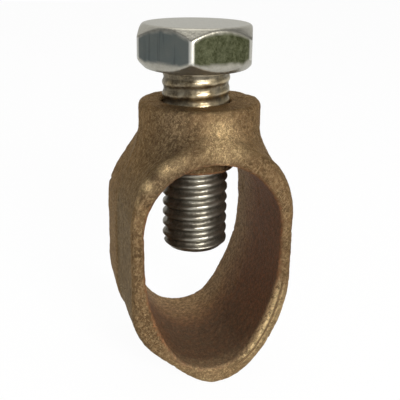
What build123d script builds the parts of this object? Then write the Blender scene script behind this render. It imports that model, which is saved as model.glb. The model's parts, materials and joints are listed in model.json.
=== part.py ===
from build123d import *
from math import atan2, cos, degrees, radians, sin, tan
import os

# Earth rod clamp: a cast bronze ring with a tapped boss, and the hexagon set screw that closes it.
# The ring drops over a half-inch earth rod, which lies along Y in the seat at the bottom.
# The cable lies on the rod, and the screw comes down along -Z to pinch the two together.
# The origin is the axis of the seat, half way through the ring. All sizes are in millimetres.

# ---- driving dimensions ----
rod_diameter = 12.7           # half-inch rod
seat_clearance = 0.15         # radial, the as-cast seat over the rod
ring_depth = 22.6             # front rim to back rim, along the rod

opening_half_width = 9.75     # inside, where the sides run straight
opening_height = 30.35        # seat bottom to the crown, inside
opening_flank_top = 10.3      # above the seat axis, where the straight sides turn in towards the seat

side_wall = 1.35
crown_wall = 2.25
seat_wall = 2.45
outer_flank_top = 7.5         # the outside turns in lower down, which leaves the flanks thicker
outer_seat_radius = 7.4
rim_round_outer = 0.8
rim_chamfer_inner = 0.4       # the cored edge is only eased

boss_diameter = 17.1
boss_rise = 3.95              # boss top above the outside of the crown
boss_offset = 0.55            # the boss stands this far off the screw's axis, as cast
boss_blend = 3.2              # hollow blend all round the foot of the boss
boss_edge_chamfer = 0.5

screw_diameter = 9.525        # 3/8 in Whitworth, 16 threads to the inch
screw_length = 26.2           # under the head to the tip
screw_clearance = 0.05        # radial, the screw in its own hole
hole_mouth = 0.5              # countersink at the top of the hole
tip_chamfer = 1.1

head_across_flats = 15.24
head_height = 5.95
head_gap = 4.5                # head to boss, with the screw part of the way in
head_chamfer_angle = 30       # the corners are turned off, top and bottom
head_face_diameter = 14.6     # circle left flat inside the turned corners
head_turn = 12.1              # one corner of the hexagon, from +X towards +Y

# ---- derived heights above the seat axis ----
seat_radius = rod_diameter / 2 + seat_clearance
crown_inside = opening_height - seat_radius
crown_outside = crown_inside + crown_wall
outer_seat_height = outer_seat_radius - seat_radius - seat_wall
boss_top = crown_outside + boss_rise
head_bottom = boss_top + head_gap


def egg_outline(half_width, top, flank_top, bottom_radius, bottom_height):
    """Half-round crown, straight sides, and flanks that run tangent into a round bottom."""
    drop = flank_top - bottom_height
    flank_radius = (half_width**2 + drop**2 - bottom_radius**2) / (2 * (half_width - bottom_radius))
    flank_centre = flank_radius - half_width
    turn_in = degrees(atan2(drop, flank_centre))
    springing = top - half_width
    CenterArc((0, springing), half_width, 0, 180)
    Line((-half_width, springing), (-half_width, flank_top))
    CenterArc((flank_centre, flank_top), flank_radius, 180, turn_in)
    CenterArc((0, bottom_height), bottom_radius, 180 + turn_in, 180 - 2 * turn_in)
    CenterArc((-flank_centre, flank_top), flank_radius, 360 - turn_in, turn_in)
    Line((half_width, flank_top), (half_width, springing))


# ---- cast ring and boss, one casting ----
with BuildPart() as clamp_body:
    with BuildSketch(Plane.XZ):
        with BuildLine():
            egg_outline(opening_half_width + side_wall, crown_outside, outer_flank_top,
                        outer_seat_radius, outer_seat_height)
        make_face()
    extrude(amount=ring_depth / 2, both=True)
    front_and_back = clamp_body.faces().filter_by(Axis.Y)
    fillet(front_and_back.edges(), rim_round_outer)

    # the boss stands on the crown, and a hollow blend runs all round its foot
    with BuildSketch(Plane.XY.offset(boss_top)):
        with Locations((boss_offset, 0)):
            Circle(boss_diameter / 2)
    extrude(amount=-(boss_rise + opening_half_width))
    foot = clamp_body.edges(Select.LAST).filter_by(GeomType.LINE, reverse=True).sort_by(Axis.Z)[0]
    fillet(foot, boss_blend)
    chamfer(clamp_body.faces().sort_by(Axis.Z)[-1].edges(), boss_edge_chamfer)

    # the opening is cored straight through, and its rims are eased
    with BuildSketch(Plane.XZ):
        with BuildLine():
            egg_outline(opening_half_width, crown_inside, opening_flank_top, seat_radius, 0)
        make_face()
    extrude(amount=ring_depth, both=True, mode=Mode.SUBTRACT)
    for rim_face in clamp_body.faces().filter_by(Axis.Y):
        chamfer(rim_face.inner_wires()[0].edges(), rim_chamfer_inner)

    # the screw's hole runs down through the boss and the crown on the ring's centre line
    with Locations((0, 0, boss_top)):
        Hole(screw_diameter / 2 + screw_clearance, depth=boss_top - opening_flank_top)
    mouth = clamp_body.faces().sort_by(Axis.Z)[-1].inner_wires()[0]
    chamfer(mouth.edges(), hole_mouth)
clamp_body.part.label = "clamp_body"

# ---- set screw ----
with BuildPart() as clamp_screw:
    with BuildSketch(Plane.XY.offset(head_bottom)):
        RegularPolygon(head_across_flats / 2, 6, major_radius=False, rotation=head_turn)
    extrude(amount=head_height)

    # the corners of the hexagon are turned off at both ends of the head
    corner_radius = head_across_flats / 2 / cos(radians(30))
    face_radius = head_face_diameter / 2
    corner_fall = (corner_radius - face_radius) * tan(radians(head_chamfer_angle))
    with BuildSketch(Plane.XZ):
        with BuildLine():
            Polyline(
                (0, head_bottom),
                (face_radius, head_bottom),
                (corner_radius, head_bottom + corner_fall),
                (corner_radius, head_bottom + head_height - corner_fall),
                (face_radius, head_bottom + head_height),
                (0, head_bottom + head_height),
                close=True,
            )
        make_face()
    revolve(axis=Axis.Z, mode=Mode.INTERSECT)

    # plain shank over the thread's crests, with a turned tip
    with BuildSketch(Plane.XY.offset(head_bottom)):
        Circle(screw_diameter / 2)
    extrude(amount=-screw_length)
    chamfer(clamp_screw.edges().sort_by(Axis.Z)[0], tip_chamfer)
clamp_screw.part.label = "clamp_screw"

os.makedirs("parts", exist_ok=True)
export_step(clamp_body.part, "parts/clamp_body.step")
export_step(clamp_screw.part, "parts/clamp_screw.step")
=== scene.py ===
"""Earth rod clamp: the finished look of the cast ring and its set screw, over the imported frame."""

import json
import math
from types import SimpleNamespace

import bmesh
import bpy
import numpy as np
from mathutils import Matrix, Vector, noise


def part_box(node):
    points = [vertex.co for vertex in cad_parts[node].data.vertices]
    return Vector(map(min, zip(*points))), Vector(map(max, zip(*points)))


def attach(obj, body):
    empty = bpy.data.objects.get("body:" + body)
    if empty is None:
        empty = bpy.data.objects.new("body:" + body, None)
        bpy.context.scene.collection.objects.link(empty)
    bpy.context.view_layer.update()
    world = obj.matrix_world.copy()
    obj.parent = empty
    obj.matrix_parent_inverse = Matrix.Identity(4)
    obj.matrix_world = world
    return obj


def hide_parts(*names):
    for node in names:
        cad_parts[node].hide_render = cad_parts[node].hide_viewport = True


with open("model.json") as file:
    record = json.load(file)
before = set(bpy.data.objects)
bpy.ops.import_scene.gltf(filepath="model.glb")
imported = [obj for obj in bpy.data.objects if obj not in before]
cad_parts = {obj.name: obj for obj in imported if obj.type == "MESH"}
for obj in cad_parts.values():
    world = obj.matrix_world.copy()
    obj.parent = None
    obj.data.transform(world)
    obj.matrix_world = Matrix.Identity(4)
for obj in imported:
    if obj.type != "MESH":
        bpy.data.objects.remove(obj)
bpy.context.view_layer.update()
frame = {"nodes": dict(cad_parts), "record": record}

bl_info = {
    "name": "Earth rod clamp",
    "version": (1, 0, 0),
    "blender": (4, 5, 0),
    "location": "3D View > Sidebar > Clamp",
    "description": "Cast bronze earth rod clamp with a hexagon set screw",
    "category": "Add Mesh",
}

MM = 0.001
RING_LOW, RING_HIGH = (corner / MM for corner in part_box("clamp_body"))
SCREW_LOW, SCREW_HIGH = (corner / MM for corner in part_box("clamp_screw"))
MOUNTS = {mount["name"]: mount for mount in frame["record"]["mounts"]}
SEAT_RADIUS = MOUNTS["rod_seat"]["dims"]["r_mm"]
SHANK_DIAMETER = 9.525
SCREW_RADIUS = SHANK_DIAMETER / 2


def length_mm(name, description, default):
    """A length, typed here in millimetres and kept, as Blender keeps lengths, in metres."""
    return bpy.props.FloatProperty(
        name=name, description=description, default=default * MM, precision=5, unit="LENGTH"
    )


def angle(name, description, degrees):
    """An angle, typed here in degrees."""
    return bpy.props.FloatProperty(
        name=name, description=description, default=math.radians(degrees), subtype="ANGLE", unit="ROTATION"
    )


def watts(name, description, default):
    """The power of a light."""
    return bpy.props.FloatProperty(
        name=name, description=description, default=default, min=0.0, precision=3, unit="POWER"
    )


def share(name, description, default):
    """A share from none to all."""
    return bpy.props.FloatProperty(
        name=name, description=description, default=default, min=0.0, max=1.0, subtype="FACTOR"
    )


def colour(name, description, default):
    """A surface colour."""
    return bpy.props.FloatVectorProperty(
        name=name, description=description, default=default, size=3, min=0.0, max=1.0, subtype="COLOR"
    )


def in_mm(settings):
    """A group's settings by name, with every length in millimetres."""
    values = {}
    for name in settings.__annotations__:
        value = getattr(settings, name)
        is_length = settings.bl_rna.properties[name].unit == "LENGTH"
        values[name] = value / MM if is_length else value
    return SimpleNamespace(**values)


# ---------------------------------------------------------------- settings


class ClampCastingSettings(bpy.types.PropertyGroup):
    opening_half_width: length_mm("Opening half width", "Half the width between the straight sides", 9.75)
    crown_inside: length_mm("Crown inside", "Height of the opening's crown above the seat axis", 23.85)
    opening_flank_top: length_mm("Opening flank top", "Where the sides turn in towards the seat", 10.3)
    outer_flank_top: length_mm("Outer flank top", "Where the outside turns in towards the seat", 7.5)
    outer_seat_radius: length_mm("Outer seat radius", "Radius of the outside under the seat", 7.4)
    crown_wall: length_mm("Crown wall", "Thickness of the ring at the crown", 2.25)
    boss_radius: length_mm("Boss radius", "Radius of the tapped boss", 8.55)
    boss_offset: length_mm("Boss offset", "How far the boss stands off the screw's axis", 0.55)
    boss_blend: length_mm("Boss blend", "Hollow blend round the foot of the boss", 2.9)
    boss_edge: length_mm("Boss edge", "Rounding of the boss's top edge", 0.75)
    rim_outer: length_mm("Outer rim round", "Rounding of the rims' outer edges", 0.95)
    crown_round: length_mm("Crown round", "Extra rounding of the rims' outer edges over the crown", 0.8)
    rim_inner: length_mm("Inner rim round", "Rounding of the rims' inner edges", 0.45)
    parting_rise: length_mm("Parting rise", "How far the outside swells at the mould's parting line", 0.24)
    core_taper: length_mm("Core taper", "How much each side of the opening widens to the back", 0.6)
    land_radius: length_mm("Land radius", "Radius of the land left round the screw under the crown", 5.7)
    land_drop: length_mm("Land drop", "How far the land stands down from the crown", 3.3)
    skin_step: length_mm("Skin step", "Size of the casting's surface mesh", 0.29)
    grain_depth: length_mm("Grain depth", "Depth of the sand grain", 0.05)
    lump_depth: length_mm("Lump depth", "Depth of the casting's slow waves", 0.10)
    pit_depth: length_mm("Pit depth", "Depth that the widest pits would have", 0.5)
    seam_height: length_mm("Seam height", "How far the parting seam stands up", 0.07)
    scar_depth: length_mm("Scar depth", "Depth of the shallow hollows behind the front rim", 0.12)
    deep_colour: colour("Deep bronze", "Colour in the hollows", (0.078, 0.044, 0.021))
    plain_colour: colour("Plain bronze", "Colour of the dulled outside", (0.205, 0.124, 0.060))
    inside_colour: colour("Inside bronze", "Colour of the cored opening", (0.310, 0.130, 0.056))
    # Painted shade: the opening's right front is painted this darker red-brown where it lies in shade.
    painted_inside_shade_colour: colour("Stained bronze", "Colour of the opening's darkest part", (0.235, 0.088, 0.040))
    # Painted light: the back of the opening, which faces the light, is painted this lighter colour; random
    # flecks inside use it too.
    painted_light_and_fleck_colour: colour("Swept bronze", "Colour of the lighter back of the opening", (0.400, 0.260, 0.130))
    # Painted shade: the left side's front band, the boss's left skirt and the opening's seat are painted
    # this dark colour.
    painted_shade_colour: colour("Tarnish", "Colour of the dark band on the left side", (0.062, 0.050, 0.036))
    # Colour of rubbed edges and specks, and of painted highlights on the front arch, the front of the boss
    # and the flash ridges; the front rim low down is lightened towards it too.
    worn_and_highlight_colour: colour("Worn bronze", "Colour where the edges are rubbed bright", (0.860, 0.640, 0.340))
    glancing_colour: colour("Glancing bronze", "Colour it reflects at low angles", (0.70, 0.60, 0.48))


class ClampScrewSettings(bpy.types.PropertyGroup):
    pitch: length_mm("Thread pitch", "Distance from one crest to the next", 1.5875)
    thread_depth: length_mm("Thread depth", "Crest to root", 0.52)
    tip_chamfer: length_mm("Tip chamfer", "Taper turned on the tip", 1.1)
    head_height: length_mm("Head height", "Height of the hexagon", 5.95)
    across_flats: length_mm("Across flats", "Width of the hexagon", 15.24)
    head_face: length_mm("Head face", "Diameter left flat on the ends of the head", 14.6)
    head_turn: angle("Head turn", "Direction of one corner from +X", 12.1)
    chamfer_angle: angle("Chamfer angle", "Slope of the head's chamfers", 45.0)
    under_extra: length_mm("Under extra", "How much smaller the underside's flat is, at the radius", 0.2)
    side_clear: length_mm("Side clear", "Least height of the clean band low on the head's sides", 1.15)
    edge_ease: length_mm("Edge ease", "Rounding of the head's edges", 0.28)
    neck_wear: share("Neck wear", "How far the thread under the head is worn down", 0.62)
    plate_colour: colour("Zinc plate", "Colour of the sound plating", (0.37, 0.355, 0.305))
    dull_colour: colour("Dull plate", "Colour of the duller specks in the plating", (0.22, 0.21, 0.17))
    edge_colour: colour("Rubbed plate", "Colour of the head's rubbed corners", (0.72, 0.71, 0.66))
    # Painted reflection: the head's sides are painted this dark slate in place of the dim, cool
    # surroundings they reflect.
    painted_side_reflection_colour: colour("Slate", "Colour of the dulled sides of the head", (0.105, 0.122, 0.118))
    streak_colour: colour("Streaks", "Colour of the upright streaks on the sides", (0.035, 0.042, 0.044))
    cloud_colour: colour("Clouds", "Colour of the paler clouds on the sides", (0.17, 0.165, 0.14))
    # Painted reflection: the head's front-right face is painted this darker olive in place of the dark
    # surroundings it reflects.
    olive_colour: colour("Olive", "Colour of the stained side of the head", (0.028, 0.031, 0.013))
    moss_colour: colour("Moss", "Colour of the paler specks on the stained side", (0.17, 0.18, 0.11))
    dust_colour: colour("Bronze dust", "Colour of the bronze rubbed on to the neck", (0.560, 0.430, 0.215))
    old_dust_colour: colour("Old dust", "Colour of the bronze dust gone dull", (0.30, 0.22, 0.11))
    # Dirt, and painted shade: the neck is painted darker towards its left and the shank away from its
    # front.
    grime_and_shade_colour: colour("Grime", "Colour of the grime on the neck and the shank", (0.088, 0.066, 0.040))
    groove_colour: colour("Groove", "Colour of dirt in the thread's roots", (0.075, 0.065, 0.048))
    glancing_colour: colour("Glancing plate", "Colour it reflects at low angles", (0.85, 0.85, 0.82))


class ClampStageSettings(bpy.types.PropertyGroup):
    floor_colour: colour("Floor", "Colour of the floor and backdrop", (0.90, 0.90, 0.90))
    key_power: watts("Key light", "Power of the main soft light", 1.7)
    top_power: watts("Top light", "Power of the wide light above", 0.612)
    window_power: watts("Window light", "Power of the cool light from the left", 0.10)
    room_level: share("Room level", "Brightness of the room round the object", 0.30)
    floor_shown: share("Floor shown", "How near to plain white the floor is when seen directly", 0.96)


# ---------------------------------------------------------------- node helpers


def new_material(name):
    """An empty node material and its tree."""
    material = bpy.data.materials.new(name)
    material.use_nodes = True
    material.node_tree.nodes.clear()
    return material, material.node_tree


def node(tree, kind, **settings):
    """A shader node; settings name its properties, or its sockets with the spaces as underscores."""
    made = tree.nodes.new(kind)
    for key, value in settings.items():
        if hasattr(made, key):
            setattr(made, key, value)
        else:
            made.inputs[key.replace("_", " ")].default_value = value
    return made


def coordinates(tree, scale=(1, 1, 1), turn=(0, 0, 0)):
    """Object coordinates in millimetres, stretched and turned."""
    where = node(tree, "ShaderNodeTexCoord")
    mapping = node(tree, "ShaderNodeMapping", vector_type="TEXTURE")
    mapping.inputs["Scale"].default_value = [MM / stretch for stretch in scale]
    mapping.inputs["Rotation"].default_value = turn
    tree.links.new(where.outputs["Object"], mapping.inputs["Vector"])
    return mapping.outputs["Vector"]


def grain(tree, size, detail=4.0, scale=(1, 1, 1), turn=(0, 0, 0), rough=0.55):
    """Soft noise whose blobs are about size millimetres across, from 0 to 1."""
    made = node(tree, "ShaderNodeTexNoise", Scale=1.0 / size, Detail=detail, Roughness=rough)
    tree.links.new(coordinates(tree, scale, turn), made.inputs["Vector"])
    return made.outputs["Fac"]


def levels(tree, value, low, high, to_low=0.0, to_high=1.0):
    """Stretches the values from low to high over the new range."""
    made = node(tree, "ShaderNodeMapRange")
    made.inputs["From Min"].default_value = low
    made.inputs["From Max"].default_value = high
    made.inputs["To Min"].default_value = to_low
    made.inputs["To Max"].default_value = to_high
    tree.links.new(value, made.inputs["Value"])
    return made.outputs["Result"]


def sums(tree, operation, first, second):
    """One sum of two values, either of which may be a plain number."""
    made = node(tree, "ShaderNodeMath", operation=operation)
    for socket, value in zip(made.inputs, (first, second)):
        if isinstance(value, (int, float)):
            socket.default_value = value
        else:
            tree.links.new(value, socket)
    return made.outputs["Value"]


def times(tree, first, second):
    """One value times another."""
    return sums(tree, "MULTIPLY", first, second)


def plus(tree, first, second):
    """Two values added."""
    return sums(tree, "ADD", first, second)


def larger(tree, first, second):
    """The larger of two values."""
    return sums(tree, "MAXIMUM", first, second)


def opposite(tree, value):
    """1 where the value is 0, and 0 where it is 1."""
    return sums(tree, "SUBTRACT", 1.0, value)


def tint(tree, amount, first, second):
    """Colour that goes from first to second as amount goes from 0 to 1."""
    made = node(tree, "ShaderNodeMix", data_type="RGBA")
    amount_in, first_in, second_in = made.inputs[0], made.inputs[6], made.inputs[7]
    tree.links.new(amount, amount_in)
    for socket, value in ((first_in, first), (second_in, second)):
        if isinstance(value, bpy.types.NodeSocket):
            tree.links.new(value, socket)
        else:
            socket.default_value = (*value, 1.0)
    return made.outputs[2]


def carried(tree, name):
    """A value that the mesh carries at its points."""
    return node(tree, "ShaderNodeAttribute", attribute_name=name).outputs["Fac"]


def raised(tree, height, depth_mm, strength=1.0, under=None):
    """Bump from a height of 0 to 1, depth_mm deep."""
    made = node(tree, "ShaderNodeBump", Strength=strength, Distance=depth_mm * MM)
    tree.links.new(height, made.inputs["Height"])
    if under is not None:
        tree.links.new(under, made.inputs["Normal"])
    return made.outputs["Normal"]


def finish_surface(tree, base, roughness, normal, metallic, glancing):
    """Principled surface and output; glancing is the colour it reflects at low angles."""
    shader = node(tree, "ShaderNodeBsdfPrincipled")
    output = node(tree, "ShaderNodeOutputMaterial")
    shader.inputs["Specular Tint"].default_value = (*glancing, 1.0)
    shader.inputs["Specular IOR Level"].default_value = 0.3
    if isinstance(metallic, bpy.types.NodeSocket):
        tree.links.new(metallic, shader.inputs["Metallic"])
    else:
        shader.inputs["Metallic"].default_value = metallic
    tree.links.new(base, shader.inputs["Base Color"])
    tree.links.new(roughness, shader.inputs["Roughness"])
    tree.links.new(normal, shader.inputs["Normal"])
    tree.links.new(shader.outputs["BSDF"], output.inputs["Surface"])


# ---------------------------------------------------------------- materials


def ridge_lines(tree, value):
    """Two ridges with a groove between, across a value from 0 to 1."""
    made = node(tree, "ShaderNodeValToRGB")
    stops = made.color_ramp.elements
    stops[0].position = 0.04
    stops[1].position = 0.92
    for stop in stops:
        stop.color = (0.35, 0.35, 0.35, 1.0)
    for position, level in ((0.16, 1.0), (0.30, 0.85), (0.39, 0.0), (0.47, 0.1), (0.58, 0.9), (0.70, 0.35)):
        stops.new(position).color = (level, level, level, 1.0)
    tree.links.new(value, made.inputs["Fac"])
    return made.outputs["Color"]


def file_strokes(tree):
    """Short strokes left by a file, crossing in two directions."""
    rising = grain(tree, 0.34, scale=(0.3, 1.0, 1.6), turn=(0.0, -1.0, 0.0), rough=0.7)
    falling = grain(tree, 0.34, scale=(0.3, 1.0, 1.6), turn=(0.0, 0.8, 0.0), rough=0.7)
    fainter = times(tree, levels(tree, falling, 0.54, 0.68), 0.7)
    return larger(tree, levels(tree, rising, 0.52, 0.66), fainter)


def cast_bronze(settings):
    """Sand-cast bronze gone brown, rubbed gold on its edges, with painted highlights, painted shade and a
    painted lit back in its opening.
    """
    material, tree = new_material("cast bronze")
    patches = levels(tree, grain(tree, 5.0, detail=5.0), 0.36, 0.66)
    mottle = levels(tree, grain(tree, 0.9, detail=6.0, rough=0.7), 0.35, 0.7)
    sand = levels(tree, grain(tree, 0.42, detail=4.0, rough=0.8), 0.38, 0.64)
    specks = levels(tree, grain(tree, 0.38, detail=5.0, rough=0.9), 0.50, 0.62)
    speckled = levels(tree, grain(tree, 0.55, detail=6.0, rough=0.85), 0.44, 0.60)
    flecked = levels(tree, grain(tree, 0.45, detail=4.0, rough=0.8), 0.60, 0.70)
    broken = levels(tree, grain(tree, 0.55, detail=4.0, rough=0.85), 0.36, 0.54)
    strokes = file_strokes(tree)
    inside = carried(tree, "inside")

    outside = tint(tree, times(tree, patches, mottle), settings.deep_colour, settings.plain_colour)
    outside = tint(tree, times(tree, mottle, 0.55), outside, settings.plain_colour)
    # Painted shade: the opening's right front is painted darker red-brown.
    cored = tint(tree, carried(tree, "painted_inside_shade"), settings.inside_colour, settings.painted_inside_shade_colour)
    # Painted light: the back of the opening, which faces the light, is painted lighter.
    cored = tint(tree, carried(tree, "painted_inside_light"), cored, settings.painted_light_and_fleck_colour)
    cored = tint(tree, times(tree, opposite(tree, speckled), 0.8), cored, settings.deep_colour)
    cored = tint(tree, times(tree, flecked, 0.5), cored, settings.painted_light_and_fleck_colour)
    body = tint(tree, inside, outside, cored)
    # Painted shade: a dark band on the left side's front, the boss's left skirt and the opening's seat.
    painted_shade_amount = times(tree, carried(tree, "painted_shade"), plus(tree, times(tree, mottle, 0.3), 0.65))
    body = tint(tree, painted_shade_amount, body, settings.painted_shade_colour)

    ridges = ridge_lines(tree, carried(tree, "inset"))
    # Painted highlight: the flash ridges' crests are painted bright.
    flash = times(tree, times(tree, carried(tree, "flash"), ridges), broken)
    flecks = times(tree, larger(tree, specks, times(tree, strokes, 0.8)), 0.30)
    flecks = times(tree, flecks, opposite(tree, times(tree, inside, 0.7)))
    streaked = plus(tree, times(tree, larger(tree, strokes, specks), 0.85), 0.25)
    # The bright colour marks rubbed edges and specks, and painted highlights on the front arch and the
    # front of the boss.
    bright = larger(tree, times(tree, carried(tree, "worn"), streaked), flecks)
    bright = larger(tree, bright, times(tree, flash, 1.2))
    bright = levels(tree, bright, 0.0, 1.0)
    base = tint(tree, bright, body, settings.worn_and_highlight_colour)

    roughness = plus(tree, levels(tree, bright, 0.0, 1.0, 0.52, 0.34), times(tree, inside, 0.14))
    metal = sums(tree, "SUBTRACT", 0.95, times(tree, inside, 0.55))
    fine = raised(tree, sand, 0.10, 0.8)
    flashed = raised(tree, flash, 0.35, 1.0, under=fine)
    normal = raised(tree, grain(tree, 1.3, detail=3.0), 0.12, 0.6, under=flashed)
    finish_surface(tree, base, roughness, normal, metal, settings.glancing_colour)
    return material


def plated_steel(settings):
    """Zinc-plated steel, its head's sides painted dark as a painted reflection, dusty on the neck, darkened
    by dirt and painted shade on the neck and shank, and dirty in the thread.
    """
    material, tree = new_material("worn zinc plate")
    clouds = levels(tree, grain(tree, 3.0, detail=5.0), 0.36, 0.64)
    streaks = levels(tree, grain(tree, 0.6, detail=4.0, scale=(1.0, 1.0, 0.04), rough=0.7), 0.50, 0.68)
    blotches = levels(tree, grain(tree, 0.9, detail=5.0, scale=(1.0, 1.0, 0.6), rough=0.8), 0.40, 0.66)
    specks = levels(tree, grain(tree, 0.4, detail=5.0, rough=0.8), 0.42, 0.66)
    side = carried(tree, "side")

    plate = tint(tree, times(tree, specks, 0.5), settings.plate_colour, settings.dull_colour)
    # Painted reflection: the head's sides are painted dark slate with upright streaks and paler clouds, and
    # its front-right face a darker olive.
    painted_side_reflection = tint(tree, times(tree, streaks, 0.6), settings.painted_side_reflection_colour, settings.streak_colour)
    painted_side_reflection = tint(tree, times(tree, clouds, 0.25), painted_side_reflection, settings.cloud_colour)
    mottled = times(tree, plus(tree, specks, blotches), 0.30)
    olive = tint(tree, mottled, settings.olive_colour, settings.moss_colour)
    plate = tint(tree, side, plate, tint(tree, carried(tree, "painted_dark_face"), painted_side_reflection, olive))
    plate = tint(tree, carried(tree, "edge"), plate, settings.edge_colour)
    dust = tint(tree, specks, settings.dust_colour, settings.old_dust_colour)
    dusted = tint(tree, carried(tree, "neck"), plate, dust)
    # Dirt, and painted shade darkening the neck's left and the shank's sides.
    grime_and_shade = times(tree, carried(tree, "grime_and_shade"), plus(tree, times(tree, specks, 0.4), 0.6))
    dusted = tint(tree, grime_and_shade, dusted, settings.grime_and_shade_colour)
    dirty = times(tree, carried(tree, "groove"), plus(tree, times(tree, blotches, 0.7), 0.25))
    base = tint(tree, dirty, dusted, settings.groove_colour)

    roughness = levels(tree, larger(tree, side, dirty), 0.0, 1.0, 0.33, 0.50)
    fine = raised(tree, grain(tree, 0.30, detail=3.0), 0.04, 0.6)
    normal = raised(tree, grain(tree, 1.8, detail=2.0), 0.10, 0.35, under=fine)
    finish_surface(tree, base, roughness, normal, 0.95, settings.glancing_colour)
    return material


def seen_directly(tree):
    """1 for rays from the camera, and for those that metal and glass send back."""
    path = node(tree, "ShaderNodeLightPath")
    both = larger(tree, path.outputs["Is Camera Ray"], path.outputs["Is Glossy Ray"])
    return larger(tree, both, path.outputs["Is Transmission Ray"])


def studio_paper(settings, name, shown):
    """Pale paper that shows near white and keeps a soft shadow."""
    material, tree = new_material(name)
    paper = node(tree, "ShaderNodeBsdfDiffuse", Color=(*settings.floor_colour, 1.0))
    white = node(tree, "ShaderNodeEmission", Color=(1.0, 1.0, 1.0, 1.0), Strength=1.0)
    mixed = node(tree, "ShaderNodeMixShader")
    output = node(tree, "ShaderNodeOutputMaterial")
    tree.links.new(times(tree, seen_directly(tree), shown), mixed.inputs["Fac"])
    tree.links.new(paper.outputs["BSDF"], mixed.inputs[1])
    tree.links.new(white.outputs["Emission"], mixed.inputs[2])
    tree.links.new(mixed.outputs["Shader"], output.inputs["Surface"])
    return material


# ---------------------------------------------------------------- cast ring


def fade(values, start, end):
    """0 up to start and 1 from end on, with a straight ramp between."""
    return np.clip((values - start) / (end - start), 0.0, 1.0)


def close_to(values, centre, reach):
    """1 at the centre, falling softly towards 0 beyond the reach."""
    return np.exp(-(((values - centre) / reach) ** 2))


def egg_distance(across, height, half_width, top, flank_top, bottom_radius, bottom_height):
    """How far points lie outside an egg: round crown, straight sides, flanks tangent to a round seat."""
    across = np.abs(across)
    drop = flank_top - bottom_height
    flank_radius = (half_width**2 + drop**2 - bottom_radius**2) / (2 * (half_width - bottom_radius))
    flank_centre = flank_radius - half_width
    turn_in = math.atan2(drop, flank_centre)
    springing = top - half_width
    crown = np.hypot(across, height - springing) - half_width
    flank = np.hypot(across + flank_centre, height - flank_top) - flank_radius
    seat = np.hypot(across, height - bottom_height) - bottom_radius
    turned = np.arctan2(flank_top - height, across + flank_centre)
    lower = np.where(turned < turn_in, flank, seat)
    return np.where(height >= springing, crown, np.where(height >= flank_top, across - half_width, lower))


def common(first, second, edge):
    """What two solids share, with the edge between their skins rounded."""
    both = np.hypot(np.maximum(edge + first, 0.0), np.maximum(edge + second, 0.0))
    return both + np.minimum(-edge, np.maximum(first, second))


def joined(first, second, hollow):
    """Two solids as one, with a hollow blend where their skins meet."""
    both = np.hypot(np.maximum(hollow - first, 0.0), np.maximum(hollow - second, 0.0))
    return np.maximum(hollow, np.minimum(first, second)) - both


def opening_distance(points, settings):
    """How far points lie outside the cored opening, which widens to the back except at the seat."""
    across, along, height = points.T
    taper = settings.core_taper * along / (2 * RING_HIGH.y) * fade(height, -2.0, 8.0)
    egg = egg_distance(across, height, settings.opening_half_width, settings.crown_inside,
                       settings.opening_flank_top, SEAT_RADIUS, 0.0)
    return egg - taper


# How full the outside is against the even egg, in mm, at heights above the seat axis.
LEFT_FRONT = (
    (-8.0, -0.30), (-6.5, -0.48), (-4.5, -0.05), (-2.5, 0.60), (0.0, 0.90), (2.5, 0.60), (6.0, 0.0),
)
LEFT_BEHIND = (
    (-8.0, 0.0), (-7.0, 0.15), (-4.0, 0.60), (-2.0, 0.92), (-0.5, 1.22),
    (1.5, 1.10), (3.5, 0.72), (5.5, 0.42), (8.0, 0.30), (13.5, 0.30),
    (15.5, 0.10), (17.5, -0.42), (20.0, -0.86), (22.0, -0.78), (24.5, 0.0),
)
RIGHT = (
    (-8.0, 0.15), (-3.0, 0.25), (10.0, 0.12), (15.0, 0.10),
    (19.5, 0.58), (22.5, 0.80), (24.5, 0.55), (26.5, 0.0),
)

# Small forms of the casting that stay as they are when its sizes change, in mm.
SEAT_SHIFT = 0.35         # how far the outside of the seat stands to the right
SEAT_KEEL = 0.3           # how far its middle stands down
ROUND_FROM = 14.0         # height where the rims' extra rounding over the crown begins
ROUND_FULL = 21.0         # height from which it is full
LAND_EDGE = 0.4           # rounding of the land's lower edge
LAND_BLEND = 1.3          # hollow blend between the land and the crown
LAND_TOP = 2.0            # how far below the boss's top the land's form ends, hidden in the metal
HOLE_CLEAR = 0.03         # how far the hole's wall stands off the shank
HOLE_EDGE = 0.2           # rounding of the hole's mouths
SKIN_PASSES = 6           # times the mesh is drawn on to the casting's form


def fullness(height, stations):
    """The table's value at each height, with its corners softened."""
    heights, values = zip(*stations)
    return sum(np.interp(height + shift, heights, values) for shift in (-0.6, -0.2, 0.2, 0.6)) / 4


def outside_distance(points, settings):
    """How far points lie outside the ring's outer form, which swells towards the parting line.

    The right shoulder is full. Behind the parting line the left shoulder is flatter, over a low pad.
    """
    across, along, height = points.T
    seat_height = RING_LOW.z + settings.outer_seat_radius
    shift = SEAT_SHIFT * fade(height, -2.0, -8.0)
    egg = egg_distance(across - shift, height, RING_HIGH.x, settings.crown_inside + settings.crown_wall,
                       settings.outer_flank_top, settings.outer_seat_radius, seat_height)
    egg -= settings.parting_rise * (1.0 - np.abs(along) / RING_HIGH.y)
    egg -= SEAT_KEEL * fade(np.abs(across - SEAT_SHIFT), 3.0, 0.0) * (height < 0.0)

    behind = fade(along, 0.0, 1.6)
    behind = behind * behind * (3 - 2 * behind)
    left = fullness(height, LEFT_FRONT) * (1 - behind) + fullness(height, LEFT_BEHIND) * behind
    right = fullness(height, RIGHT)
    return egg - left * fade(-across, 0.0, 3.0) - right * fade(across, 0.0, 3.0)


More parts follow.
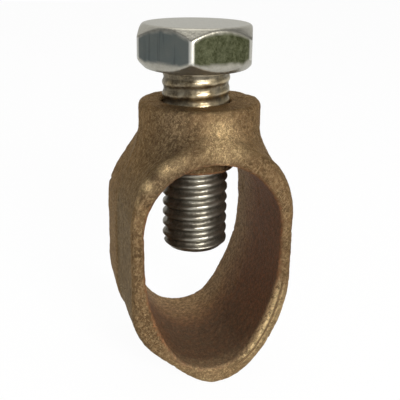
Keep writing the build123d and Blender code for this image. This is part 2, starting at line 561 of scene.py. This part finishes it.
def casting_distance(points, settings):
    """How far points lie outside the whole casting."""
    across, along, height = points.T
    boss_side = np.hypot(across - settings.boss_offset, along) - settings.boss_radius
    boss = common(boss_side, height - RING_HIGH.z, settings.boss_edge)
    boss = np.maximum(boss, settings.crown_inside - settings.boss_radius - height)
    solid = joined(outside_distance(points, settings), boss, settings.boss_blend)
    rim_round = settings.rim_outer + settings.crown_round * fade(height, ROUND_FROM, ROUND_FULL) ** 2
    solid = common(solid, np.abs(along) - RING_HIGH.y, rim_round)
    solid = common(solid, -opening_distance(points, settings), settings.rim_inner)
    from_screw = np.hypot(across, along)
    land_foot = settings.crown_inside - settings.land_drop
    land = common(from_screw - settings.land_radius, land_foot - height, LAND_EDGE)
    land = np.maximum(land, height - RING_HIGH.z + LAND_TOP)
    solid = joined(solid, land, LAND_BLEND)
    hole = np.maximum(from_screw - SCREW_RADIUS - HOLE_CLEAR, settings.opening_flank_top - height)
    return common(solid, -hole, HOLE_EDGE)


def slope(distance, points, step=0.03):
    """Direction in which the distance grows fastest, at each point."""
    parts = []
    for axis in range(3):
        nudge = np.zeros(3)
        nudge[axis] = step
        parts.append(distance(points + nudge) - distance(points - nudge))
    found = np.stack(parts, axis=1) / (2 * step)
    return found / np.maximum(np.linalg.norm(found, axis=1, keepdims=True), 1e-6)


def edge_sharpness(distance, points, reach=0.35):
    """Curvature of the skin: above zero on edges, below in hollows."""
    total = -6.0 * distance(points)
    for axis in range(3):
        nudge = np.zeros(3)
        nudge[axis] = reach
        total += distance(points + nudge) + distance(points - nudge)
    return total / reach**2


def waves(points, size, seed):
    """Smooth noise from -1 to 1 with waves about size millimetres long."""
    shift = Vector((seed * 17.3, seed * 5.1, seed * 9.7))
    return np.array([noise.noise(Vector(point) / size + shift) for point in points.tolist()])


def tube_points(inner, outer, low, high, sides=96):
    """Points and faces, in metres, of a closed upright tube round the Z axis. Sizes are in millimetres."""
    turns = np.arange(sides) * 2 * math.pi / sides
    corners = ((inner, low), (outer, low), (outer, high), (inner, high))
    points = [(r * math.cos(t) * MM, r * math.sin(t) * MM, z * MM) for r, z in corners for t in turns]
    faces = []
    for corner in range(4):
        here, after = corner * sides, (corner + 1) % 4 * sides
        for k in range(sides):
            beside = (k + 1) % sides
            faces.append((here + k, here + beside, after + beside, after + k))
    return points, faces


def even_skin(source, added, step_mm, name):
    """A copy of a CAD node's mesh with a closed form added, remade as one skin in even small faces."""
    mesh = source.data.copy()
    shape = bmesh.new()
    shape.from_mesh(mesh)
    points, faces = added
    made = [shape.verts.new(point) for point in points]
    for face in faces:
        shape.faces.new([made[k] for k in face])
    shape.to_mesh(mesh)
    shape.free()
    piece = bpy.data.objects.new(name, mesh)
    bpy.context.scene.collection.objects.link(piece)
    remesh = piece.modifiers.new("even skin", "REMESH")
    remesh.mode = "VOXEL"
    remesh.voxel_size = step_mm * MM
    remesh.adaptivity = 0.0
    evaluated = piece.evaluated_get(bpy.context.evaluated_depsgraph_get())
    finished = bpy.data.meshes.new_from_object(evaluated)
    piece.modifiers.clear()
    piece.data = finished
    finished.name = name
    return piece


def mesh_points(mesh):
    """The mesh's points in millimetres."""
    flat = np.zeros(len(mesh.vertices) * 3)
    mesh.vertices.foreach_get("co", flat)
    return flat.reshape(-1, 3) / MM


def set_mesh_points(mesh, points):
    """Moves the mesh's points to these places in millimetres."""
    mesh.vertices.foreach_set("co", (points * MM).ravel())
    mesh.update()


def carry(mesh, name, values):
    """Stores a value from 0 to 1 at each point, for the material to read."""
    layer = mesh.attributes.new(name, "FLOAT", "POINT")
    layer.data.foreach_set("value", np.clip(values, 0.0, 1.0).astype(np.float32))


def smooth_faces(mesh):
    """Shades every face smooth."""
    mesh.polygons.foreach_set("use_smooth", [True] * len(mesh.polygons))


def dress(piece, material, body, cad_node):
    """Gives a piece its finish, the body it moves with and the CAD node it stands for."""
    piece.data.materials.clear()
    piece.data.materials.append(material)
    stand_in = frame["nodes"][cad_node]
    stand_in.data.materials.clear()
    stand_in.data.materials.append(material)
    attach(piece, body)
    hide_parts(cad_node)


def flash_share(points, settings):
    """Where flash was left on the front rim, low on the right, from 0 to 1."""
    across, along, height = points.T
    round_foot = np.arctan2(across, settings.opening_flank_top - height)
    stretch = np.exp(-(((round_foot - 0.70) / 0.45) ** 4))
    return stretch * fade(-along, RING_HIGH.y - 1.3, RING_HIGH.y - 0.5)


def in_opening(points, outward, inset, settings):
    """Which points lie on the skin of the cored opening: near it, and facing its middle."""
    to_middle = points - np.array([0.0, 0.0, settings.opening_flank_top])
    to_middle[:, 1] = 0.0
    inward = -np.sum(outward * to_middle, axis=1) / np.maximum(np.linalg.norm(to_middle, axis=1), 1e-6)
    return (inset < 0.25) & (inward > 0.35)


def cast_relief(points, inset, flash, lumps, settings):
    """How far the cast skin stands off its even form: waves, grain, pits, parting seam, flash and scars."""
    along = points[:, 1]
    pits = np.clip(waves(points, 1.15, 4) - 0.48, 0.0, 1.0)
    skin = settings.lump_depth * lumps * 0.5 + settings.grain_depth * waves(points, 0.62, 3)
    seam = close_to(along, 0.3 * waves(points, 3.0, 15), 0.3) * (inset > 0.9)
    flash_ridge = flash * (0.10 + 0.14 * waves(points, 0.9, 5)) * close_to(inset, 0.5, 0.45)
    scars = np.clip(waves(points, 2.2, 12), 0.0, 1.0) * (along > -2.0)
    return (skin - settings.pit_depth * pits + settings.seam_height * seam + flash_ridge
            - settings.scar_depth * scars)


def round_boss(points, settings):
    """Direction of each point from the boss's axis, in degrees: 0 to the front, above zero to the right."""
    return np.degrees(np.arctan2(points[:, 0] - settings.boss_offset, -points[:, 1]))


def wear_and_highlight_share(points, inset, sharpness, settings):
    """Where the bronze is painted bright: rubbed edges and the hole's mouth, painted highlights on the
    front arch and the front of the boss, and the front rim made lighter low down.
    """
    across, along, height = points.T
    springing = settings.crown_inside - settings.opening_half_width
    round_crown = np.degrees(np.arctan2(height - springing, across))
    # Painted highlight along the front rim's outer corner over the upper left of the arch.
    arch = close_to(round_crown, 138.0, 36.0) * fade(-along, 8.6, 9.8) * close_to(inset, 1.9, 0.75)
    rubbed = arch * np.clip(0.35 + 1.6 * waves(points, 1.9, 6), 0.0, 1.0)
    edges = fade(sharpness, 0.30, 1.20)
    rubbed += 0.22 * edges * np.clip(0.3 + waves(points, 2.4, 7), 0.0, 1.0)
    # Painted highlight on the front of the boss, a little right of centre.
    painted_boss_highlight = close_to(round_boss(points, settings), 6.0, 17.0) * close_to(height, RING_HIGH.z - 3.25, 2.8)
    rubbed += painted_boss_highlight * np.clip(1.0 + 0.5 * waves(points, 2.0, 11), 0.0, 1.0) * (along < -5.0)
    round_screw = np.degrees(np.arctan2(across, -along))
    mouth = close_to(np.hypot(across, along) - SCREW_RADIUS, 0.2, 0.35) * close_to(round_screw, -18.0, 40.0)
    rubbed += 0.9 * mouth * (height > RING_HIGH.z - 0.6)
    # The front rim is painted lighter low down, about the seat's height.
    return rubbed + 0.32 * fade(-along, 8.0, 9.5) * close_to(height, -9.0, 5.0)


def painted_shade_share(points, inside, settings):
    """Where painted shade darkens the bronze: the left side's front band, the boss's left skirt and the
    seat.
    """
    across, along, height = points.T
    band = fade(-across, 7.5, 9.5) * fade(along, 1.1, 0.3) * fade(along, -10.6, -9.6)
    band *= fade(height, 22.0, 16.0)
    skirt = close_to(round_boss(points, settings), -36.0, 20.0) * fade(height, 18.0, 21.0) * (along < -3.0)
    seat = inside * fade(height, 1.0, -5.0) * fade(along, 6.0, 0.0)
    return band + 0.55 * skirt + 0.75 * seat


def painted_inside_shade_share(points):
    """Where painted shade darkens the opening to a deeper red: on the right, towards the front, above the
    seat.
    """
    across, along, height = points.T
    return fade(across, 3.0, 8.0) * fade(along, 6.0, -4.0) * fade(height, -6.0, 0.0)


class CLAMP_OT_casting(bpy.types.Operator):
    """Make the cast bronze ring and boss"""

    bl_idname = "clamp.casting"
    bl_label = "Cast ring and boss"

    def execute(self, context):
        settings = in_mm(context.scene.clamp_casting)

        def distance(points):
            return casting_distance(points, settings)

        land = tube_points(SCREW_RADIUS + 0.05, settings.land_radius,
                           settings.crown_inside - settings.land_drop, settings.crown_inside + 1.0)
        piece = even_skin(frame["nodes"]["clamp_body"], land, settings.skin_step, "clamp_casting_skin")
        points = mesh_points(piece.data)
        for _ in range(SKIN_PASSES):
            points -= distance(points)[:, None] * slope(distance, points)
        outward = slope(distance, points)
        sharpness = edge_sharpness(distance, points)
        inset = opening_distance(points, settings)
        inside = in_opening(points, outward, inset, settings)
        flash = flash_share(points, settings)
        lumps = waves(points, 3.6, 1) + 0.6 * waves(points, 1.7, 2)
        points += cast_relief(points, inset, flash, lumps, settings)[:, None] * outward
        set_mesh_points(piece.data, points)

        # Rubbed edges and painted highlights, read by the material as one bright mask.
        carry(piece.data, "worn", wear_and_highlight_share(points, inset, sharpness, settings))
        carry(piece.data, "flash", flash)
        carry(piece.data, "inset", inset / 2.0)
        # Painted shade on the left side, the boss's left skirt and the seat.
        carry(piece.data, "painted_shade", painted_shade_share(points, inside, settings))
        # Painted light on the back of the opening.
        carry(piece.data, "painted_inside_light", fade(points[:, 1] + 1.5 * lumps, 1.0, 8.0))
        # Painted shade on the opening's right front.
        carry(piece.data, "painted_inside_shade", painted_inside_shade_share(points))
        carry(piece.data, "inside", inside.astype(float))
        smooth_faces(piece.data)
        dress(piece, cast_bronze(settings), "clamp_body", "clamp_body")
        return {"FINISHED"}


# ---------------------------------------------------------------- set screw

DIRECTIONS = 240      # points in each row round the axis
THREAD_STEP = 0.1     # from one row of the thread to the next, in mm


def hexagon_reach(turn, across_flats, corner):
    """Distance from the axis to the hexagon's side in each direction, with its corners a little soft."""
    sides = corner + math.pi / 6 + np.arange(6) * math.pi / 3
    facing = np.maximum(np.cos(turn[:, None] - sides[None, :]), 0.0)
    softness = 70
    return across_flats / 2 / np.sum(facing**softness, axis=1) ** (1 / softness)


def ring(radius, height):
    """One row of points round the axis: its radius and height in each direction."""
    return np.stack([np.broadcast_to(radius, DIRECTIONS), np.broadcast_to(height, DIRECTIONS)], axis=1)


def straight_rows(start, end, count):
    """Rows from start to end in even steps, without the first."""
    return [start + (end - start) * part for part in np.linspace(0, 1, count + 1)[1:]]


def eased_path(corners, ease, runs):
    """Rows of points along straight runs whose corners are eased. Each row goes once round the axis."""
    rows = [corners[0]]
    for before, here, after, count in zip(corners, corners[1:], corners[2:], runs):
        back = np.linalg.norm(before - here, axis=1, keepdims=True)
        on = np.linalg.norm(after - here, axis=1, keepdims=True)
        start = here + (before - here) * np.minimum(ease / back, 0.45)
        end = here + (after - here) * np.minimum(ease / on, 0.45)
        rows += straight_rows(rows[-1], start, count)
        for part in (0.25, 0.5, 0.75, 1.0):
            rows.append(start * (1 - part) ** 2 + here * 2 * part * (1 - part) + end * part**2)
    return rows + straight_rows(rows[-1], corners[-1], runs[-1])


def thread_radius(turn, height, settings, under):
    """Radius of the worn thread in each direction, and how deep in the groove it lies."""
    phase = (height / settings.pitch - turn / (2 * math.pi)) % 1.0
    flank = fade(np.abs(2 * phase - 1), 0.14, 0.86)
    profile = 0.35 * flank + 0.65 * (0.5 - 0.5 * np.cos(math.pi * flank))
    run_out = np.clip((under - height) / 1.2, 0.35, 1.0)
    in_neck = fade(height, RING_HIGH.z - 1.5, RING_HIGH.z)
    depth = settings.thread_depth * run_out * (1 - settings.neck_wear * in_neck)
    radius = SCREW_RADIUS - 0.04 - depth * (1 - profile)
    turned_down = SCREW_RADIUS - settings.tip_chamfer + 0.15 + (height - SCREW_LOW.z)
    return np.minimum(radius, turned_down), 1 - profile


def screw_rows(turn, reach, top_fall, under_fall, settings):
    """The screw's rows from the head's top to the tip, each with how deep in the groove it lies."""
    top, tip = SCREW_HIGH.z, SCREW_LOW.z
    under = top - settings.head_height
    face = settings.head_face / 2
    smooth = np.zeros(DIRECTIONS)
    head = eased_path(
        [ring(0.02, top), ring(face, top), ring(reach, top - top_fall),
         ring(reach, under + under_fall), ring(face - settings.under_extra, under),
         ring(SCREW_RADIUS, under), ring(SCREW_RADIUS - 0.15, under - 0.5)],
        settings.edge_ease, [14, 5, 16, 5, 6, 2],
    )
    rows = [(row, smooth) for row in head]
    for height in np.arange(under - 0.6, tip, -THREAD_STEP):
        radius, groove = thread_radius(turn, height, settings, under)
        rows.append((ring(radius, height), groove))
    end_radius = SCREW_RADIUS - settings.tip_chamfer
    for inner in (1.0, 0.85, 0.6, 0.3, 0.005):
        rows.append((ring(end_radius * inner, tip), smooth))
    return rows


def row_faces(row_count):
    """Four-sided faces between the rows, and one face to close each end."""
    here = np.arange(DIRECTIONS)
    beside = (here + 1) % DIRECTIONS
    quads = []
    for row in range(row_count - 1):
        above, below = row * DIRECTIONS, (row + 1) * DIRECTIONS
        quads.append(np.stack([above + here, below + here, below + beside, above + beside], axis=1))
    last = (row_count - 1) * DIRECTIONS
    return np.concatenate(quads).tolist() + [here.tolist(), (last + here[::-1]).tolist()]


def handling_wear(points, under):
    """How far handling has moved each point of the screw's skin outwards."""
    on_thread = (points[:, 2] < under - 0.6) & (points[:, 2] > SCREW_LOW.z + 0.01)
    thread = -0.05 * np.clip(waves(points, 1.6, 7) + 0.4, 0.0, 1.2) - 0.03 * waves(points, 0.7, 8)
    return np.where(on_thread, thread, 0.025 * waves(points, 2.4, 9) - 0.02)


def turned_from(turns, direction, period=360.0):
    """Degrees between each turn and a direction, or the nearest repeat of it."""
    return np.abs((np.degrees(turns) - direction + period / 2) % period - period / 2)


def grime_and_shade_share(points, in_neck, under):
    """Where dirt and painted shade sit: on the left of the neck, and on the shank away from the front."""
    # Painted shade darkens the neck towards its left, broken by blotches of dirt.
    neck = np.clip(0.5 - points[:, 0] / 5.0 + 1.1 * waves(points, 1.2, 14), 0.0, 1.0)
    round_front = np.degrees(np.arctan2(points[:, 0], -points[:, 1]))
    # Painted shade on the shank's sides, leaving its front bright, with blotches of dirt.
    shank = 0.62 * (1 - close_to(round_front, 8.0, 34.0)) + 0.55 * waves(points, 1.4, 16)
    return np.where(in_neck, neck, np.clip(shank, 0.0, 0.8) * (points[:, 2] < under - 0.1))


class CLAMP_OT_screw(bpy.types.Operator):
    """Make the hexagon set screw with its thread"""

    bl_idname = "clamp.screw"
    bl_label = "Set screw"

    def execute(self, context):
        settings = in_mm(context.scene.clamp_screw)
        under = SCREW_HIGH.z - settings.head_height
        turn = np.arange(DIRECTIONS) * 2 * math.pi / DIRECTIONS
        reach = hexagon_reach(turn, settings.across_flats, settings.head_turn)
        past_face = reach - settings.head_face / 2
        top_fall = past_face * math.tan(settings.chamfer_angle)
        under_fall = (past_face + settings.under_extra) * math.tan(settings.chamfer_angle)
        rows = screw_rows(turn, reach, top_fall, under_fall, settings)

        profile = np.concatenate([row for row, _ in rows])
        turns = np.tile(turn, len(rows))
        outward = np.stack([np.cos(turns), np.sin(turns), np.zeros(len(turns))], axis=1)
        points = outward * profile[:, :1]
        points[:, 2] = profile[:, 1]
        points += handling_wear(points, under)[:, None] * outward
        mesh = bpy.data.meshes.new("clamp_set_screw")
        mesh.from_pydata((points * MM).tolist(), [], row_faces(len(rows)))
        mesh.update()
        piece = bpy.data.objects.new("clamp_set_screw", mesh)
        context.scene.collection.objects.link(piece)

        height = points[:, 2]
        ragged = 0.22 * waves(points, 0.8, 13)
        below_top = SCREW_HIGH.z - height - np.tile(top_fall, len(rows)) + ragged
        side_foot = under + np.tile(np.maximum(under_fall, settings.side_clear), len(rows))
        above_under = height - side_foot + ragged
        on_side = fade(below_top, 0.05, 0.40) * fade(above_under, 0.0, 0.4)
        corner = math.degrees(settings.head_turn)
        on_corner = np.exp(-((turned_from(turns, corner, 60.0) / 2.1) ** 4)) * (on_side > 0.2)
        in_neck = (height > RING_HIGH.z - 1.0) & (height < under - 0.1)
        carry(mesh, "groove", np.concatenate([groove for _, groove in rows]))
        carry(mesh, "neck", in_neck * (0.55 + 0.4 * waves(points, 1.5, 10)))
        carry(mesh, "grime_and_shade", grime_and_shade_share(points, in_neck, under))
        # The head's sides and its front-right face are marked for their painted reflections.
        carry(mesh, "side", on_side)
        carry(mesh, "painted_dark_face", (turned_from(turns, corner + 270.0) < 30).astype(float))
        carry(mesh, "edge", 0.8 * on_corner)
        smooth_faces(mesh)
        dress(piece, plated_steel(settings), "clamp_screw", "clamp_screw")
        return {"FINISHED"}


# ---------------------------------------------------------------- stage

CAMERA_PLACE = (-24.126, -97.046, 20.724)   # from the boss's top centre, in mm
CAMERA_HEADING = 14.41                      # to the right of +Y, in degrees
CAMERA_DOWN = 19.65
CAMERA_ROLL = 0.78
CAMERA_LENS = 65.1
LIGHTS_AIM = (0.0, 0.0, 0.015)              # in metres, like the places and sizes of the lights
KEY_PLACE = (0.06, -0.33, 0.15)
WINDOW_PLACE = (-0.34, -0.20, 0.22)
TOP_PLACE = (0.02, 0.10, 0.45)


def soft_light(name, place, size, power, tone):
    """A square soft light that faces the clamp."""
    data = bpy.data.lights.new(name, "AREA")
    data.shape = "SQUARE"
    data.size = size
    data.energy = power
    data.color = tone
    lamp = bpy.data.objects.new(name, data)
    bpy.context.scene.collection.objects.link(lamp)
    lamp.location = place
    lamp.rotation_euler = (Vector(LIGHTS_AIM) - Vector(place)).to_track_quat("-Z", "Y").to_euler()


def paper_sheet(name, corners, material):
    """One flat sheet of the stage."""
    mesh = bpy.data.meshes.new(name)
    mesh.from_pydata(corners, [], [(0, 1, 2, 3)])
    sheet = bpy.data.objects.new(name, mesh)
    bpy.context.scene.collection.objects.link(sheet)
    mesh.materials.append(material)


def room_light(settings):
    """A pale room: white where it is seen directly, and softer on the object."""
    world = bpy.data.worlds.new("room")
    bpy.context.scene.world = world
    world.use_nodes = True
    tree = world.node_tree
    tree.nodes.clear()
    path = node(tree, "ShaderNodeLightPath")
    lit = node(tree, "ShaderNodeBackground", Color=(0.97, 0.98, 1.0, 1.0), Strength=settings.room_level)
    shown = node(tree, "ShaderNodeBackground", Color=(1.0, 1.0, 1.0, 1.0), Strength=1.0)
    mixed = node(tree, "ShaderNodeMixShader")
    output = node(tree, "ShaderNodeOutputWorld")
    tree.links.new(path.outputs["Is Camera Ray"], mixed.inputs["Fac"])
    tree.links.new(lit.outputs["Background"], mixed.inputs[1])
    tree.links.new(shown.outputs["Background"], mixed.inputs[2])
    tree.links.new(mixed.outputs["Shader"], output.inputs["Surface"])


def place_camera():
    """Camera in front of the ring, a little to its left, looking down on the boss."""
    data = bpy.data.cameras.new("camera")
    data.sensor_width = 36.0
    data.lens = CAMERA_LENS
    data.clip_start = 0.005
    camera = bpy.data.objects.new("camera", data)
    bpy.context.scene.collection.objects.link(camera)
    turn = (
        Matrix.Rotation(math.radians(-CAMERA_HEADING), 4, "Z")
        @ Matrix.Rotation(math.radians(90 - CAMERA_DOWN), 4, "X")
        @ Matrix.Rotation(math.radians(CAMERA_ROLL), 4, "Z")
    )
    place = Vector(CAMERA_PLACE) + Vector((0, 0, RING_HIGH.z))
    camera.matrix_world = Matrix.Translation(place * MM) @ turn
    bpy.context.scene.camera = camera


class CLAMP_OT_stage(bpy.types.Operator):
    """Make the floor, backdrop, lights and camera"""

    bl_idname = "clamp.stage"
    bl_label = "Stage"

    def execute(self, context):
        settings = context.scene.clamp_stage
        floor = RING_LOW.z * MM - 0.0004
        near, far, side, high = -0.9, 0.7, 1.2, 1.1
        paper_sheet(
            "floor", [(-side, near, floor), (side, near, floor), (side, far, floor), (-side, far, floor)],
            studio_paper(settings, "floor paper", settings.floor_shown),
        )
        paper_sheet(
            "backdrop", [(-side, far, floor), (side, far, floor), (side, far, high), (-side, far, high)],
            studio_paper(settings, "backdrop paper", 1.0),
        )
        soft_light("key_light", KEY_PLACE, 0.11, settings.key_power, (1.0, 0.97, 0.92))
        soft_light("window_light", WINDOW_PLACE, 0.22, settings.window_power, (0.84, 0.92, 1.0))
        soft_light("top_light", TOP_PLACE, 0.30, settings.top_power, (1.0, 0.99, 0.96))
        room_light(settings)
        context.scene.view_settings.view_transform = "Standard"
        place_camera()
        return {"FINISHED"}


# ---------------------------------------------------------------- add-on


class CLAMP_PT_parts(bpy.types.Panel):
    """The clamp's pieces and sizes"""

    bl_label = "Earth rod clamp"
    bl_idname = "CLAMP_PT_parts"
    bl_space_type = "VIEW_3D"
    bl_region_type = "UI"
    bl_category = "Clamp"

    def draw(self, context):
        for group in ("casting", "screw", "stage"):
            box = self.layout.box()
            box.operator("clamp." + group)
            settings = getattr(context.scene, "clamp_" + group)
            for name in settings.__annotations__:
                box.prop(settings, name)


CLASSES = (
    ClampCastingSettings, ClampScrewSettings, ClampStageSettings,
    CLAMP_OT_casting, CLAMP_OT_screw, CLAMP_OT_stage, CLAMP_PT_parts,
)


def register():
    """Adds the clamp's settings, operators and panel to Blender."""
    for made in CLASSES:
        bpy.utils.register_class(made)
    bpy.types.Scene.clamp_casting = bpy.props.PointerProperty(type=ClampCastingSettings)
    bpy.types.Scene.clamp_screw = bpy.props.PointerProperty(type=ClampScrewSettings)
    bpy.types.Scene.clamp_stage = bpy.props.PointerProperty(type=ClampStageSettings)


def unregister():
    """Takes them away again."""
    del bpy.types.Scene.clamp_casting
    del bpy.types.Scene.clamp_screw
    del bpy.types.Scene.clamp_stage
    for made in reversed(CLASSES):
        bpy.utils.unregister_class(made)


def main():
    """Makes every piece and the stage."""
    register()
    bpy.ops.clamp.casting()
    bpy.ops.clamp.screw()
    bpy.ops.clamp.stage()


if __name__ == "__main__":
    main()
